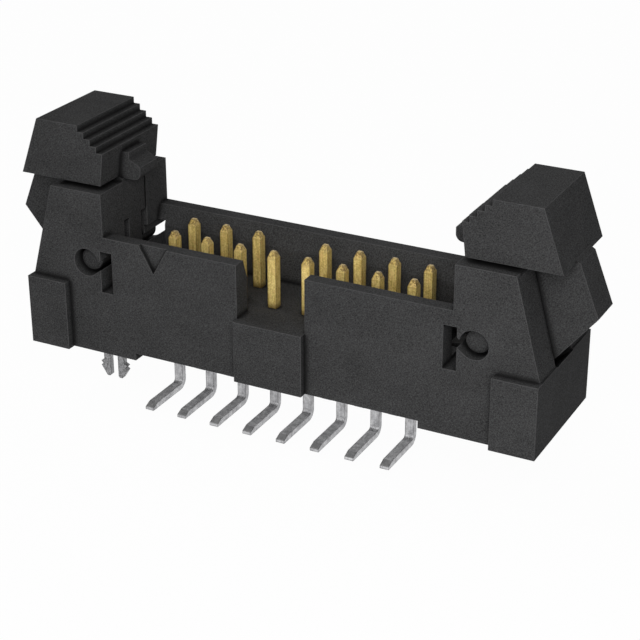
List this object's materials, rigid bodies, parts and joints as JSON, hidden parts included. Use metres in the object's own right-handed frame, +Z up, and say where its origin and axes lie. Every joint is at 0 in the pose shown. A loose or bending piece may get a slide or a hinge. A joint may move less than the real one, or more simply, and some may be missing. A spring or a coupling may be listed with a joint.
{
  "type": "ejector latch box header",
  "caption": "Shrouded two-row board header for a flat cable plug, with a polarising notch, swinging ejector latches at both ends, surface-mount tails and a board lock.",
  "frame": {"origin": "middle of the contact field on the surface of the circuit board, level with the undersides of the solder feet", "axes": "+X along the contact rows towards the latch at the end without a board lock, -Y towards the polarising notch, +Z up out of the board towards the plug"},
  "size_m": [0.0334, 0.0084, 0.0159],
  "materials": {
    "housing_plastic": "matte charcoal moulded plastic with a fine grain",
    "latch_plastic": "matte charcoal moulded plastic with a fine grain",
    "contact_gold": "gold flash on the pin, matte tin on the solder tail",
    "lock_tin": "matte tin plating"
  },
  "bodies": {
    "header": {"housing": "housing_plastic", "board_lock": "lock_tin", "contact_front_1": "contact_gold", "contact_front_2": "contact_gold", "contact_front_3": "contact_gold", "contact_front_4": "contact_gold", "contact_front_5": "contact_gold", "contact_front_6": "contact_gold", "contact_front_7": "contact_gold", "contact_front_8": "contact_gold", "contact_back_1": "contact_gold", "contact_back_2": "contact_gold", "contact_back_3": "contact_gold", "contact_back_5": "contact_gold", "contact_back_6": "contact_gold", "contact_back_7": "contact_gold", "contact_back_8": "contact_gold"},
    "left_latch": {"latch_left": "latch_plastic"},
    "right_latch": {"latch_right": "latch_plastic"}
  },
  "joints": [
    {"name": "left_latch_hinge", "type": "hinge", "parent": "header", "child": "left_latch", "pos_m": [-0.01122, 0, 0.00748], "axis": [0, -1, 0], "range_deg": [0, 12]},
    {"name": "right_latch_hinge", "type": "hinge", "parent": "header", "child": "right_latch", "pos_m": [0.01122, 0, 0.00748], "axis": [0, 1, 0], "range_deg": [0, 12]}
  ]
}
